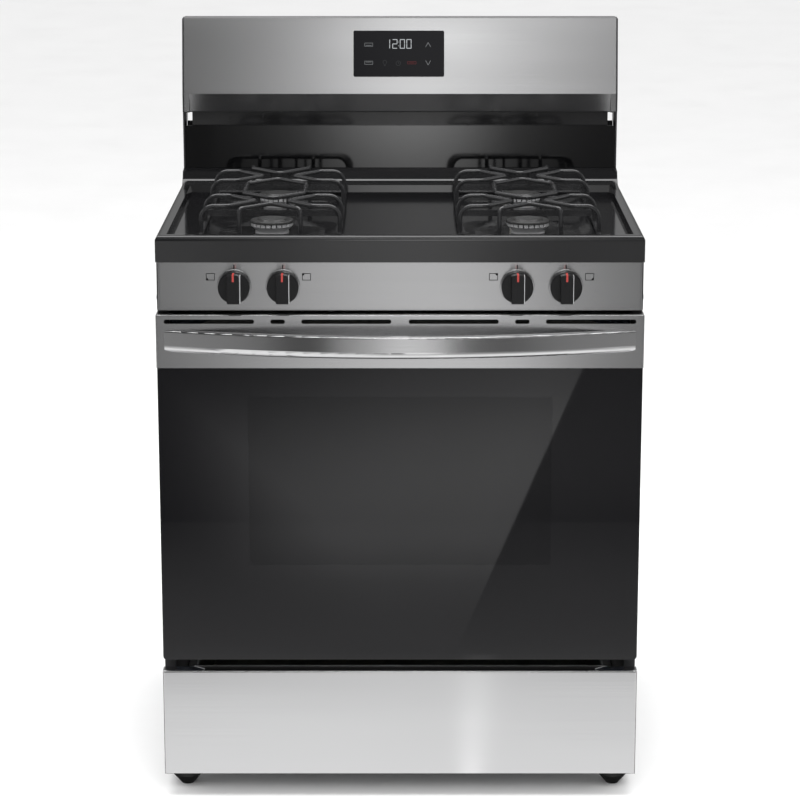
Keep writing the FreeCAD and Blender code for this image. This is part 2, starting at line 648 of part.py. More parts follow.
def console_end_cap():
    """Right-hand end of the backguard; its foot is a thin post with an open notch beside it."""
    x = (HALF - 2.6, HALF)
    y_in = BEND[0] + 1
    outline = [(BACKGUARD_Y, 935), (BACKGUARD_Y, VENT_Z[1]), (y_in, VENT_Z[1] + 2), (y_in, BEND[1]),
               (CONSOLE_TOP_Y + 1, HEIGHT - 1), (Y_BACK - 2, HEIGHT - 1), (Y_BACK - 2, 935)]
    return x_prism(outline, x)


def backsplash():
    """Gloss black upright behind the cooktop: it leans back a little and is folded back along its top."""
    half = HALF - 3
    y = BACKGUARD_Y
    lean = 5.0
    outline = [(y, 934.8), (y + lean, VENT_Z[0]), (y + lean + SHEET, VENT_Z[0]), (y + SHEET, 934.8)]
    top = box((-VENT_HALF, VENT_HALF), (y + lean, y + 10), (VENT_Z[0] - SHEET, VENT_Z[0]))
    return x_prism(outline, (-half, half)).fuse(top).removeSplitter()


def backguard_rear_cover():
    """Painted rear cover of the backguard, notched at both ends of the vent slot."""
    half = HALF - 3
    back = box((-half, half), (Y_BACK - 1.2, Y_BACK), (900, HEIGHT - 2))
    foot = box((-half, half), (BODY_BACK_Y + GAP, Y_BACK), (898.8, 900))
    notch = [box(x, (Y_BACK - 10, Y_BACK + 5), (VENT_Z[0] + 2, VENT_Z[1] - 6))
             for x in ((-NOTCH_X[1], -NOTCH_X[0]), NOTCH_X)]
    slots = [box((-300 + i * 42, -276 + i * 42), (Y_BACK - 10, Y_BACK + 5), (1090, 1094)) for i in range(15)]
    return back.fuse(foot).removeSplitter().cut(notch + slots)


def vent_baffle():
    """Black baffle that closes the vent slot's back between the two notches."""
    y = (BACKGUARD_Y + 11, BACKGUARD_Y + 12)
    plate = box((-VENT_HALF, VENT_HALF), y, (VENT_Z[0] - 14, VENT_Z[1] + 8))
    ribs = [box((x - 1, x + 1), (y[0] - 8, y[0]), (VENT_Z[0] + 1, VENT_Z[1] - 1)) for x in range(-300, 301, 60)]
    return plate.fuse(ribs).removeSplitter()


# ---------------------------------------------------------------- door
def door_outer_glass():
    pane = box((-HALF + 1, HALF - 1), (Y_DOOR + 2, Y_DOOR + 6), (DOOR_Z[0], TRIM_Z - GAP))
    return rounded(pane, 6, lambda e: along(e, Y_AXIS) and e.BoundBox.ZMax < DOOR_Z[0] + 1)


def door_trim():
    """Steel cap over the top of the door, with a row of air slots above the handle."""
    y = (Y_DOOR, DOOR_BACK_Y - 2)
    z = (TRIM_Z, DOOR_Z[1])
    outer = box((-HALF, HALF), y, z)
    outer = rounded(outer, 3, lambda e: along(e, Z_AXIS) and e.BoundBox.YMax < y[0] + 1)
    outer = rounded(outer, 2, lambda e: along(e, X_AXIS) and e.BoundBox.YMax < y[0] + 1
                    and e.BoundBox.ZMin > z[1] - 1)
    t = 1.2
    inner = box((-HALF + t, HALF - t), (y[0] + t, y[1] + 5), (z[0] - 5, z[1] - t))
    shell = outer.cut(inner)
    slots = []
    for x0, x1 in SLOTS:
        slot = box((x0, x1), (y[0] - 5, y[0] + 5), (SLOT_Z - SLOT_HALF, SLOT_Z + SLOT_HALF))
        slot = rounded(slot, SLOT_HALF - 0.05, lambda e: along(e, Y_AXIS))
        slots.append(slot)
        slots.append(slot.mirror(V(0, 0, 0), X_AXIS))
    return shell.cut(slots)


def plan_arc(half, y_end, y_mid, z):
    """A shallow arc in plan from one side to the other through its foremost point."""
    return Part.Arc(V(-half, y_end, z), V(0, y_mid, z), V(half, y_end, z)).toShape()


def door_handle():
    """Bowed bar: its ends lie against the trim and its middle stands proud."""
    z = (736.0, 771.5)
    half, inner_half = 366.0, 322.0
    seat = Y_DOOR - GAP / 10
    outer = plan_arc(half, seat - 2.5, Y_HANDLE, z[0])
    inner = plan_arc(inner_half, seat, Y_HANDLE + 14, z[0])
    ends = []
    for side in (-1, 1):
        corner = V(side * half, seat, z[0])
        ends.append(Part.LineSegment(V(side * half, seat - 2.5, z[0]), corner).toShape())
        ends.append(Part.LineSegment(corner, V(side * inner_half, seat, z[0])).toShape())
    outline = Part.Wire(Part.__sortEdges__([outer, inner] + ends))
    bar = Part.Face(outline).extrude(V(0, 0, z[1] - z[0]))
    bar = rounded(bar, 12, lambda e: e.BoundBox.YMin < Y_HANDLE + 1 and e.BoundBox.ZMax < z[0] + 1)
    return rounded(bar, 2.5, lambda e: e.BoundBox.YMin < Y_HANDLE + 1 and e.BoundBox.ZMin > z[1] - 1)


def door_inner_panel():
    """Enamelled inner door: a tray with the window opening, notched round the hinge brackets."""
    x = HALF - 5
    y = (Y_DOOR + 7, DOOR_BACK_Y)
    z = (DOOR_Z[0] + 1, DOOR_Z[1] - 8)
    outer = box((-x, x), y, z)
    inner = box((-x + SHEET, x - SHEET), (y[0] - 5, y[1] - SHEET), (z[0] + SHEET, z[1] - SHEET))
    window = box((-WINDOW_X, WINDOW_X), (y[0] - 5, y[1] + 5), WINDOW_Z)
    window = rounded(window, 12, lambda e: along(e, Y_AXIS))
    top = box((-x - 5, x + 5), (y[1] - SHEET - GAP, y[1] + 5), (z[1] - 22, z[1] + 5))
    notches = []
    for side in (-1, 1):
        nx = sorted((side * (ARM_X[0] - 3), side * (BRACKET_X[1] + 4)))
        notches.append(box(nx, (HINGE[0] - 9, y[1] + 5), (z[0] - 5, HINGE[1] + 22)))
    return outer.cut([inner, window, top] + notches)


def door_inner_window():
    """Two spaced panes with a frame bar between them along the top and the bottom."""
    x = (-WINDOW_X - 14, WINDOW_X + 14)
    z = (WINDOW_Z[0] - 14, WINDOW_Z[1] + 14)
    back = DOOR_BACK_Y - SHEET - GAP
    panes = [box(x, (back - 4, back), z), box(x, (back - 18, back - 14), z)]
    spacers = [box(x, (back - 14, back - 4), (z[0], z[0] + 8)), box(x, (back - 14, back - 4), (z[1] - 8, z[1]))]
    return panes + spacers


def door_hinge_arms():
    """Arms in the door that turn on the body's hinge pins."""
    arm = box(ARM_X, (HINGE[0] - 8, DOOR_BACK_Y - 5), (HINGE[1] - 5, HINGE[1] + 70))
    arm = arm.cut(cyl(PIN_R + 0.05, (ARM_X[0] - 5, *HINGE), (ARM_X[1] + 5, *HINGE)))
    return [arm, mirror_x(arm)]


# ---------------------------------------------------------------- drawer
def drawer_front():
    """Steel drawer front, folded back on every side."""
    y = (Y_DOOR, Y_DOOR + 22)
    outer = box((-HALF, HALF), y, DRAWER_Z)
    outer = rounded(outer, 3, lambda e: (along(e, Z_AXIS) or along(e, X_AXIS)) and e.BoundBox.YMax < y[0] + 1)
    inner = box((-HALF + 1.2, HALF - 1.2), (y[0] + 1.2, y[1] + 5), (DRAWER_Z[0] + 1.2, DRAWER_Z[1] - 1.2))
    return outer.cut(inner)


def drawer_pull():
    """Finger lip that stands above the drawer front, with ends that slant outwards."""
    z = (DRAWER_Z[1] + GAP / 10, DRAWER_Z[1] + 6.5)
    y = (Y_DOOR + 9, Y_DOOR + 13)
    lip = prism([(-313, y[0], z[0]), (313, y[0], z[0]), (331, y[0], z[1]), (-331, y[0], z[1])], (0, y[1] - y[0], 0))
    return rounded(lip, 1.2, lambda e: along(e, X_AXIS) and e.BoundBox.ZMin > z[1] - 1)


def drawer_box():
    """Storage tray with its two runners."""
    x = RUNNER_X[0] - GAP / 3
    y = (Y_DOOR + 23, 255.0)
    z = (66.0, 186.0)
    tray = box((-x, x), y, z).cut(box((-x + SHEET, x - SHEET), (y[0] + SHEET, y[1] - SHEET), (z[0] + SHEET, z[1] + 5)))
    runners = []
    for side in (-1, 1):
        rx = sorted((side * x, side * (RUNNER_X[1] + GAP)))
        runners.append(box(rx, (SIDE_FRONT_Y + 14, y[1]), RUNNER_Z))
    return tray.fuse(runners).removeSplitter()


# ---------------------------------------------------------------- racks and fasteners
def oven_rack(level):
    """Welded wire shelf that rests on a pair of ledges."""
    r = 3.0
    z = level + GAP + r
    half = CAVITY_X - 4 - r
    y = (CAVITY_Y[0] + 34, CAVITY_Y[1] - 14)
    corners = [(-half, y[0], z), (half, y[0], z), (half, y[1], z), (-half, y[1], z)]
    frame = closed_rod(corners, r, 14)
    wire_r = 2.0
    up = r + wire_r - 0.6
    wires = []
    for i in range(14):
        x = (i - 6.5) * 41.2
        wires.append(cyl(wire_r, (x, y[0] - 2, z + up), (x, y[1] + 2, z + up)))
    wires.append(cyl(r, (-half, 0.0, z), (half, 0.0, z)))
    stop = bent_rod([(-half + 20, y[1], z + 2), (-half + 20, y[1] + 4, z + 22), (half - 20, y[1] + 4, z + 22),
                     (half - 20, y[1], z + 2)], wire_r, 8)
    return frame.fuse(wires + [stop])


def case_screws():
    """Screw heads: sides of the control panel and the edge of the back panel."""
    heads = []
    for side in (-1, 1):
        heads.append(cyl(3.6, (side * (HALF - 1.2), Y_LIP + 13, 819), (side * HALF, Y_LIP + 13, 819)))
        for z in (130, 300, 480, 660, 840):
            x = side * (HALF - 27)
            heads.append(cone(4, 2.6, (x, BODY_BACK_Y, z), (x, BODY_BACK_Y + 2.2, z)))
        for z in (960, 1060, 1170):
            x = side * (HALF - 12)
            heads.append(cone(4, 2.6, (x, Y_BACK - 4, z), (x, Y_BACK - 1.2, z)))
    return heads


# ---------------------------------------------------------------- write every node
right_side = side_panel()
save("side_panel_right", right_side)
save("side_panel_left", mirror_x(right_side))
save("back_panel", back_panel())
save("base_frame", base_frame())
save("front_frame", front_frame())
save("oven_liner", oven_liner())
save("oven_insulation", oven_insulation())
save("oven_floor_panel", oven_floor_panel())
save("bake_burner", bake_burner())
save("broil_burner", broil_burner())
save("oven_vent_duct", oven_vent_duct(), vent_baffle())
save("oven_lamp", oven_lamp())
save("door_gasket", door_gasket())
save("hinge_receivers", hinge_receivers())
save("drawer_rails", drawer_rails())
save("cooktop_pan", cooktop_pan())
save("gas_manifold", gas_manifold())
save("valve_bodies", [valve_body(x) for x in KNOB_X])
save("pressure_regulator", pressure_regulator())
save("spark_module", spark_module())
save("control_panel", control_panel())
save("console_panel", console_panel())
save("display_glass", display_glass())
save("control_board", control_board())
right_cap = console_end_cap()
save("console_end_caps", right_cap, mirror_x(right_cap))
save("backsplash", backsplash())
save("backguard_rear_cover", backguard_rear_cover())
save("case_screws", case_screws())

burners = [(x, y) for x in (-BURNER_X, BURNER_X) for y in BURNER_Y]
save("burner_bases", [burner_base(x, y) for x, y in burners])
save("igniters", [igniter(x, y) for x, y in burners])
save("feed_tubes", [feed_tube(x, y) for x, y in burners])
for place, (x, y) in zip(("left_front", "left_rear", "right_front", "right_rear"), burners):
    save("burner_cap_" + place, burner_cap(x, y))
save("grate_left", grate(-BURNER_X))
save("grate_right", grate(BURNER_X))

for number, x in enumerate(KNOB_X, 1):
    save("valve_stem_%d" % number, valve_stem(x))
    save("knob_%d" % number, knob(x))

legs = [(x, y) for x in (-LEG_X, LEG_X) for y in LEG_Y]
for place, (x, y) in zip(("left_front", "left_rear", "right_front", "right_rear"), legs):
    save("levelling_leg_" + place, levelling_leg(x, y))

save("oven_rack_lower", oven_rack(RACK_LEVELS[0]))
save("oven_rack_upper", oven_rack(RACK_LEVELS[1]))
save("door_outer_glass", door_outer_glass())
save("door_trim", door_trim())
save("door_handle", door_handle())
save("door_inner_panel", door_inner_panel())
save("door_inner_window", door_inner_window())
save("door_hinge_arms", door_hinge_arms())
save("drawer_front", drawer_front())
save("drawer_pull", drawer_pull())
save("drawer_box", drawer_box())
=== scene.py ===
import bpy
import bmesh
import math
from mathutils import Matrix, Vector


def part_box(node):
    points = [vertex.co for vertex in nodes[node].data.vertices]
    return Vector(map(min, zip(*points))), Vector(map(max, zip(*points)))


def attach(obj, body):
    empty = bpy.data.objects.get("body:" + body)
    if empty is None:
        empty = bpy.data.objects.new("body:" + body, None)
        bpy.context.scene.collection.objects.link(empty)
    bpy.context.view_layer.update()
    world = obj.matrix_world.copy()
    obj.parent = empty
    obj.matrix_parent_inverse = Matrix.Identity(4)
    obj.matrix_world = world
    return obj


# A freestanding gas range: the CAD frame's parts with their materials, the detail pieces that
# the frame doesn't hold, a pale studio, and the camera. Metres; +X right, +Y back, +Z up.

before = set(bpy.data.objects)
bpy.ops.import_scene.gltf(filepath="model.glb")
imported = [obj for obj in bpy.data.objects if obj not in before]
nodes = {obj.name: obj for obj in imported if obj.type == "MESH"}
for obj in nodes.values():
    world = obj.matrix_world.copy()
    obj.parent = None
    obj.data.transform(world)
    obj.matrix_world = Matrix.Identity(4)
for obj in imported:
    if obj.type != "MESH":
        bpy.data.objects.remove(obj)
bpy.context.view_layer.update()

PLACES = ("left_front", "left_rear", "right_front", "right_rear")
KNOBS = (1, 2, 3, 4)


# ---------------------------------------------------------------- node-tree helpers
def new_material(name):
    """An empty node material with a Principled shader wired to its output."""
    material = bpy.data.materials.new(name)
    material.use_nodes = True
    tree = material.node_tree
    shader = tree.nodes["Principled BSDF"]
    return material, tree, shader


def add_node(tree, kind, **inputs):
    """A node of this kind; keyword names that match sockets set them, others set attributes."""
    node = tree.nodes.new(kind)
    for key, value in inputs.items():
        label = key.replace("_", " ")
        socket = next((s for s in node.inputs if s.name.lower() == label.lower()), None)
        if socket is not None:
            socket.default_value = value
        else:
            setattr(node, key, value)
    return node


def scaled_position(tree, scale):
    """Object coordinates in metres, stretched by scale."""
    coords = tree.nodes.new("ShaderNodeTexCoord")
    mapping = tree.nodes.new("ShaderNodeMapping")
    mapping.inputs["Scale"].default_value = scale
    tree.links.new(coords.outputs["Object"], mapping.inputs["Vector"])
    return mapping.outputs["Vector"]


def noise(tree, scale, detail=4.0, roughness=0.55):
    """Noise over stretched object coordinates; returns its grey output."""
    texture = add_node(tree, "ShaderNodeTexNoise", Scale=1.0, Detail=detail, Roughness=roughness)
    tree.links.new(scaled_position(tree, scale), texture.inputs["Vector"])
    return texture.outputs["Fac"]


def remap(tree, value, low, high, out_low, out_high):
    """Map low..high of a grey value onto out_low..out_high, clamped."""
    node = tree.nodes.new("ShaderNodeMapRange")
    for socket, number in zip(("From Min", "From Max", "To Min", "To Max"), (low, high, out_low, out_high)):
        node.inputs[socket].default_value = number
    tree.links.new(value, node.inputs["Value"])
    return node.outputs["Result"]


def two_tone(tree, value, dark, light):
    """Mix two colours by a grey value."""
    mix = tree.nodes.new("ShaderNodeMix")
    mix.data_type = "RGBA"
    mix.inputs["A"].default_value = (*dark, 1.0)
    mix.inputs["B"].default_value = (*light, 1.0)
    tree.links.new(value, mix.inputs["Factor"])
    return mix.outputs["Result"]


def bump(tree, shader, height, strength, distance):
    """Tilt the shader's normal by a grey height; distance is the height's full rise in metres."""
    node = add_node(tree, "ShaderNodeBump", Strength=strength, Distance=distance)
    tree.links.new(height, node.inputs["Height"])
    tree.links.new(node.outputs["Normal"], shader.inputs["Normal"])


# ---------------------------------------------------------------- materials
def brushed_steel(name, tint=(0.60, 0.60, 0.605), rough=0.21):
    """Stainless sheet with a fine grain that runs along X."""
    material, tree, shader = new_material(name)
    lines = noise(tree, (0.6, 1100.0, 1100.0), detail=2.0)
    waves = noise(tree, (0.6, 150.0, 150.0), detail=1.0)
    patches = noise(tree, (1.5, 4.0, 9.0), detail=2.0)
    dark = tuple(c * 0.93 for c in tint)
    light = tuple(min(1.0, c * 1.06) for c in tint)
    tree.links.new(two_tone(tree, lines, dark, light), shader.inputs["Base Color"])
    shader.inputs["Metallic"].default_value = 1.0
    shader.inputs["Anisotropic"].default_value = 0.72
    shader.inputs["Anisotropic Rotation"].default_value = 0.25
    tree.links.new(remap(tree, patches, 0.3, 0.7, rough - 0.02, rough + 0.03), shader.inputs["Roughness"])
    bump(tree, shader, waves, 0.04, 0.0001)
    return material


def enamel(name, color, rough, speckle=None, coat=0.0, specular=0.5, ripple=0.05):
    """Fired enamel or gloss paint: rippled by this strength, with optional pale speckles."""
    material, tree, shader = new_material(name)
    wave = noise(tree, (22.0, 22.0, 22.0), detail=2.0)
    fine = noise(tree, (900.0, 900.0, 900.0), detail=2.0)
    base = two_tone(tree, fine, tuple(c * 0.85 for c in color), tuple(c * 1.15 for c in color))
    if speckle:
        dots = add_node(tree, "ShaderNodeTexVoronoi", Scale=1.0)
        tree.links.new(scaled_position(tree, (330.0, 330.0, 330.0)), dots.inputs["Vector"])
        spots = remap(tree, dots.outputs["Distance"], 0.12, 0.22, 1.0, 0.0)
        mix = tree.nodes.new("ShaderNodeMix")
        mix.data_type = "RGBA"
        mix.inputs["B"].default_value = (*speckle, 1.0)
        tree.links.new(spots, mix.inputs["Factor"])
        tree.links.new(base, mix.inputs["A"])
        base = mix.outputs["Result"]
    tree.links.new(base, shader.inputs["Base Color"])
    tree.links.new(remap(tree, fine, 0.3, 0.7, rough * 0.85, rough * 1.2), shader.inputs["Roughness"])
    shader.inputs["Specular IOR Level"].default_value = specular
    shader.inputs["Coat Weight"].default_value = coat
    bump(tree, shader, wave, ripple, 0.001)
    return material


def grained(name, color, rough, metallic=0.0, scale=700.0, strength=0.25, vary=0.15, specular=0.5):
    """Moulded plastic, textured paint, cast metal or ceramic: an even fine grain."""
    material, tree, shader = new_material(name)
    grain = noise(tree, (scale, scale, scale), detail=3.0)
    cloud = noise(tree, (12.0, 12.0, 12.0), detail=3.0)
    dark = tuple(c * (1 - vary) for c in color)
    light = tuple(min(1.0, c * (1 + vary)) for c in color)
    tree.links.new(two_tone(tree, cloud, dark, light), shader.inputs["Base Color"])
    shader.inputs["Metallic"].default_value = metallic
    shader.inputs["Specular IOR Level"].default_value = specular
    tree.links.new(remap(tree, grain, 0.3, 0.7, rough * 0.85, rough * 1.15), shader.inputs["Roughness"])
    bump(tree, shader, grain, strength, 0.0002)
    return material


def zinc(name):
    """Zinc-coated sheet with a faint spangle."""
    material, tree, shader = new_material(name)
    cells = add_node(tree, "ShaderNodeTexVoronoi", Scale=1.0)
    tree.links.new(scaled_position(tree, (70.0, 70.0, 70.0)), cells.inputs["Vector"])
    grey = tree.nodes.new("ShaderNodeRGBToBW")
    tree.links.new(cells.outputs["Color"], grey.inputs["Color"])
    tree.links.new(two_tone(tree, grey.outputs["Val"], (0.42, 0.43, 0.44), (0.60, 0.61, 0.62)),
                   shader.inputs["Base Color"])
    shader.inputs["Metallic"].default_value = 0.9
    tree.links.new(remap(tree, grey.outputs["Val"], 0.0, 1.0, 0.36, 0.5), shader.inputs["Roughness"])
    bump(tree, shader, noise(tree, (300.0, 300.0, 300.0)), 0.1, 0.0002)
    return material


def fibres(name, dark, light, scale):
    """Woven or felted fibre."""
    material, tree, shader = new_material(name)
    strands = noise(tree, scale, detail=5.0, roughness=0.7)
    tree.links.new(two_tone(tree, strands, dark, light), shader.inputs["Base Color"])
    shader.inputs["Roughness"].default_value = 0.95
    bump(tree, shader, strands, 0.6, 0.001)
    return material


def clear_glass(name):
    """Heat-resistant glass that lets straight rays through."""
    material, tree, shader = new_material(name)
    haze = noise(tree, (18.0, 18.0, 18.0), detail=2.0)
    tree.links.new(two_tone(tree, haze, (0.80, 0.84, 0.83), (0.88, 0.91, 0.90)), shader.inputs["Base Color"])
    shader.inputs["Roughness"].default_value = 0.02
    shader.inputs["Alpha"].default_value = 0.12
    material.surface_render_method = "DITHERED"
    return material


def door_glass(name, window):
    """Black glass, opaque outside the window and slightly clear inside it.

    window is its half width, its lower z and its upper z.
    """
    half, low, high = window
    material, tree, shader = new_material(name)
    coords = tree.nodes.new("ShaderNodeTexCoord")
    split = tree.nodes.new("ShaderNodeSeparateXYZ")
    tree.links.new(coords.outputs["Object"], split.inputs["Vector"])

    def band(socket, middle, reach):
        """1 where the coordinate lies within reach of the middle."""
        compare = tree.nodes.new("ShaderNodeMath")
        compare.operation = "COMPARE"
        compare.inputs[1].default_value = middle
        compare.inputs[2].default_value = reach
        tree.links.new(socket, compare.inputs[0])
        return compare.outputs["Value"]

    both = tree.nodes.new("ShaderNodeMath")
    both.operation = "MULTIPLY"
    tree.links.new(band(split.outputs["X"], 0.0, half), both.inputs[0])
    tree.links.new(band(split.outputs["Z"], (low + high) / 2, (high - low) / 2), both.inputs[1])
    tree.links.new(remap(tree, both.outputs["Value"], 0.0, 1.0, 1.0, 0.80), shader.inputs["Alpha"])
    tone = noise(tree, (6.0, 6.0, 6.0), detail=2.0)
    tree.links.new(two_tone(tree, tone, (0.0035, 0.0035, 0.004), (0.0050, 0.0048, 0.0056)),
                   shader.inputs["Base Color"])
    tree.links.new(remap(tree, tone, 0.3, 0.7, 0.018, 0.03), shader.inputs["Roughness"])
    shader.inputs["Specular IOR Level"].default_value = 0.5
    material.surface_render_method = "DITHERED"
    return material


def glowing(name, color, strength):
    """A lit display element, slightly uneven."""
    material, tree, shader = new_material(name)
    patchy = noise(tree, (400.0, 400.0, 400.0), detail=1.0)
    tint = two_tone(tree, patchy, tuple(c * 0.9 for c in color), color)
    tree.links.new(tint, shader.inputs["Emission Color"])
    shader.inputs["Base Color"].default_value = (0.01, 0.01, 0.01, 1.0)
    shader.inputs["Specular IOR Level"].default_value = 0.1
    shader.inputs["Emission Strength"].default_value = strength
    shader.inputs["Roughness"].default_value = 0.4
    return material


# ---------------------------------------------------------------- mesh helpers
def mesh_piece(name, bm, material, body):
    """Turn a bmesh into a piece that rides on a body."""
    bmesh.ops.recalc_face_normals(bm, faces=bm.faces)
    mesh = bpy.data.meshes.new(name)
    bm.to_mesh(mesh)
    bm.free()
    piece = bpy.data.objects.new(name, mesh)
    bpy.context.scene.collection.objects.link(piece)
    piece.data.materials.append(material)
    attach(piece, body)


def slab(bm, outline, lift, place):
    """A thin plate: outline in (u, v), from 0 to lift; place(u, v, w) gives its point in space."""
    low = [bm.verts.new(place(u, v, 0.0)) for u, v in outline]
    high = [bm.verts.new(place(u, v, lift)) for u, v in outline]
    bm.faces.new(low)
    bm.faces.new(high[::-1])
    count = len(outline)
    for i in range(count):
        j = (i + 1) % count
        bm.faces.new((low[i], high[i], high[j], low[j]))


def bar_outline(u0, u1, v0, v1):
    """A rectangle from u0 to u1 across and v0 to v1 up."""
    return [(u0, v0), (u1, v0), (u1, v1), (u0, v1)]


def disc_outline(u, v, radius, sides=24):
    """A disc round (u, v)."""
    turn = 2 * math.pi / sides
    return [(u + radius * math.cos(i * turn), v + radius * math.sin(i * turn)) for i in range(sides)]


def stroke_outline(u0, v0, u1, v1, width):
    """A straight stroke of this width from one point to another."""
    length = math.hypot(u1 - u0, v1 - v0)
    across = (-(v1 - v0) / length * width / 2, (u1 - u0) / length * width / 2)
    return [(u0 + across[0], v0 + across[1]), (u0 - across[0], v0 - across[1]),
            (u1 - across[0], v1 - across[1]), (u1 + across[0], v1 + across[1])]


def upright(y):
    """Places (u, v, w) on a vertical face that looks to the front at this y; w stands proud of it."""
    return lambda u, v, w: Vector((u, y - w, v))


# ---------------------------------------------------------------- the frame's own parts
STEEL = brushed_steel("brushed_stainless")
STEEL_HANDLE = brushed_steel("handle_stainless", tint=(0.66, 0.66, 0.665), rough=0.20)
BLACK = enamel("black_enamel", (0.0050, 0.0050, 0.0055), rough=0.09, specular=0.85)
BACKSPLASH = enamel("backsplash_enamel", (0.002, 0.002, 0.0022), rough=0.05, specular=0.8, coat=0.5,
                    ripple=0.02)
PULL = enamel("pull_enamel", (0.004, 0.004, 0.004), rough=0.25, specular=0.1)
BLACK_GRATE = enamel("grate_enamel", (0.016, 0.016, 0.017), rough=0.24, specular=1.0, ripple=0.1)
CAP_BLACK = enamel("cap_enamel", (0.030, 0.030, 0.030), rough=0.30, ripple=0.1)
OVEN = enamel("oven_enamel", (0.022, 0.026, 0.036), rough=0.16, speckle=(0.32, 0.36, 0.42), ripple=0.3)
CASE = grained("case_paint", (0.022, 0.022, 0.024), 0.42, scale=500.0, strength=0.35)
ZINC = zinc("zinc_sheet")
ALUMINIUM = grained("cast_aluminium", (0.62, 0.62, 0.63), 0.36, metallic=0.55, scale=900.0, strength=0.3)
BRASS = grained("machined_brass", (0.70, 0.50, 0.22), 0.3, metallic=1.0)
CHROME = grained("rack_chrome", (0.72, 0.72, 0.73), 0.16, metallic=1.0, strength=0.05, vary=0.05)
KNOB = grained("knob_plastic", (0.006, 0.006, 0.0065), 0.24, scale=1100.0, strength=0.06, specular=0.35)
FOOT = grained("foot_plastic", (0.008, 0.008, 0.008), 0.5, scale=600.0)
CERAMIC = grained("igniter_ceramic", (0.78, 0.76, 0.71), 0.35, scale=900.0, vary=0.06)
MODULE = grained("module_plastic", (0.55, 0.55, 0.52), 0.5, scale=800.0)
BOARD = grained("circuit_board", (0.02, 0.13, 0.05), 0.45, scale=900.0)
WOOL = fibres("glass_wool", (0.45, 0.38, 0.16), (0.80, 0.72, 0.42), (60.0, 200.0, 60.0))
GASKET = fibres("woven_gasket", (0.03, 0.03, 0.03), (0.14, 0.14, 0.13), (700.0, 700.0, 700.0))
CLEAR = clear_glass("clear_glass")
DISPLAY = enamel("display_lens", (0.004, 0.004, 0.005), rough=0.05, specular=0.12, ripple=0.0)

PANE_LAP = 0.014                # how far the inner panes reach past the door's window opening
pane_low, pane_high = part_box("door_inner_window")
window_edges = (pane_high[0] - PANE_LAP, pane_low[2] + PANE_LAP, pane_high[2] - PANE_LAP)
DOOR_GLASS = door_glass("door_glass", window_edges)

FINISHES = {
    STEEL: ("control_panel", "console_panel", "door_trim", "drawer_front"),
    STEEL_HANDLE: ("door_handle",),
    BLACK: ("cooktop_pan", "oven_vent_duct"),
    PULL: ("drawer_pull",),
    BACKSPLASH: ("backsplash",),
    BLACK_GRATE: ("grate_left", "grate_right"),
    CAP_BLACK: tuple("burner_cap_" + place for place in PLACES),
    OVEN: ("front_frame", "oven_liner", "oven_floor_panel", "door_inner_panel"),
    CASE: ("side_panel_left", "side_panel_right", "console_end_caps", "backguard_rear_cover"),
    ZINC: ("back_panel", "base_frame", "hinge_receivers", "door_hinge_arms", "drawer_rails", "drawer_box",
           "case_screws", "bake_burner", "broil_burner", "gas_manifold", "pressure_regulator")
    + tuple("valve_stem_%d" % k for k in KNOBS),
    ALUMINIUM: ("burner_bases", "feed_tubes"),
    BRASS: ("valve_bodies",),
    CHROME: ("oven_rack_lower", "oven_rack_upper"),
    KNOB: tuple("knob_%d" % k for k in KNOBS),
    FOOT: tuple("levelling_leg_" + place for place in PLACES),
    CERAMIC: ("igniters",),
    MODULE: ("spark_module",),
    BOARD: ("control_board",),
    WOOL: ("oven_insulation",),
    GASKET: ("door_gasket",),
    CLEAR: ("door_inner_window", "oven_lamp"),
    DISPLAY: ("display_glass",),
    DOOR_GLASS: ("door_outer_glass",),
}
for finish, names in FINISHES.items():
    for node_name in names:
        node = nodes[node_name]
        node.data.materials.clear()
        node.data.materials.append(finish)


# ---------------------------------------------------------------- marks on the control panel
PRINT = grained("printed_ink", (0.006, 0.006, 0.006), 0.6, strength=0.05, specular=0.1)
RED = grained("knob_red", (0.34, 0.030, 0.024), 0.4, strength=0.05)
# The pale strip on the right side of each knob's grip is a painted highlight where that side catches the
# light.
KNOB_HIGHLIGHT = grained("knob_chrome", (0.60, 0.60, 0.61), 0.30, metallic=0.4, strength=0.03)

panel_low, panel_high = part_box("control_panel")
panel_face = panel_low[1]
knob_boxes = [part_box("knob_%d" % k) for k in KNOBS]
knob_x = [(low[0] + high[0]) / 2 for low, high in knob_boxes]
INK = 0.0001                    # how far a printed mark stands proud
ICON_Z = panel_high[2] - 0.0225     # middle of the burner signs
ICON_OFFSET = 0.0367            # from a knob's middle to its burner sign
ICON_HALF = (0.0069, 0.0057)    # half a sign's width and height
ICON_LINE = 0.0010              # width of its outline
DOT = 0.0018                    # radius of the dot in a burner sign
TICK_Z = (panel_high[2] - 0.0102, panel_high[2] - 0.0036)
TICK_HALF = 0.0009


def burner_sign(bm, x, z, corner):
    """Outlined square with a dot in the corner where the burner lies."""
    w, h = ICON_HALF
    put = upright(panel_face)
    slab(bm, bar_outline(x - w, x + w, z + h - ICON_LINE, z + h), INK, put)
    slab(bm, bar_outline(x - w, x + w, z - h, z - h + ICON_LINE), INK, put)
    slab(bm, bar_outline(x - w, x - w + ICON_LINE, z - h + ICON_LINE, z + h - ICON_LINE), INK, put)
    slab(bm, bar_outline(x + w - ICON_LINE, x + w, z - h + ICON_LINE, z + h - ICON_LINE), INK, put)
    slab(bm, disc_outline(x + corner[0] * (w - DOT), z + corner[1] * (h - DOT), DOT), INK, put)


signs = bmesh.new()
for x, side, corner in zip(knob_x, (-1, 1, -1, 1), ((-1, -1), (-1, 1), (1, 1), (1, -1))):
    burner_sign(signs, x + side * ICON_OFFSET, ICON_Z, corner)
    slab(signs, bar_outline(x - TICK_HALF, x + TICK_HALF, *TICK_Z), INK, upright(panel_face))
mesh_piece("panel_signs", signs, PRINT, "body")


